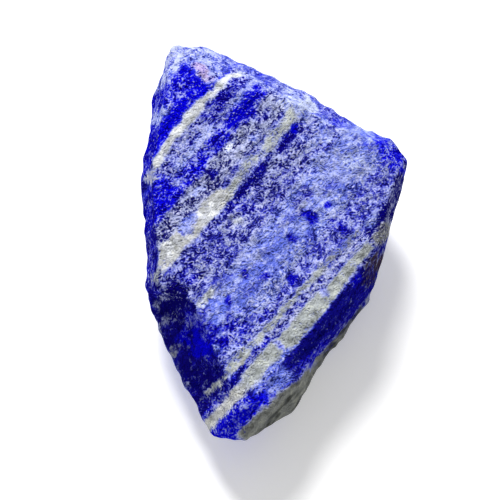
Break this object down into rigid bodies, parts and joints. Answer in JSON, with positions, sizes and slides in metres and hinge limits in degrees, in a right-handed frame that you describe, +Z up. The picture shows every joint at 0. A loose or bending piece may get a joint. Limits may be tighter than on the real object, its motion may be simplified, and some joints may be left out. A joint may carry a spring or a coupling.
{
  "type": "rough lapis lazuli stone",
  "caption": "Rough lapis lazuli: a broken, unpolished wedge of deep blue rock with slanting cream calcite veins, lying on its back.",
  "frame": {"origin": "centre of the stone's plan at the flat spot it rests on", "axes": "+Z up, +Y along the stone from its pointed tip to its broad end, +X across it to the right when seen from the tip end"},
  "size_m": [0.0512, 0.0828, 0.0251],
  "materials": {
    "lapis": "rough broken stone, dull with fine glitter"
  },
  "bodies": {
    "root": {"lapis_stone": "lapis"}
  },
  "joints": []
}
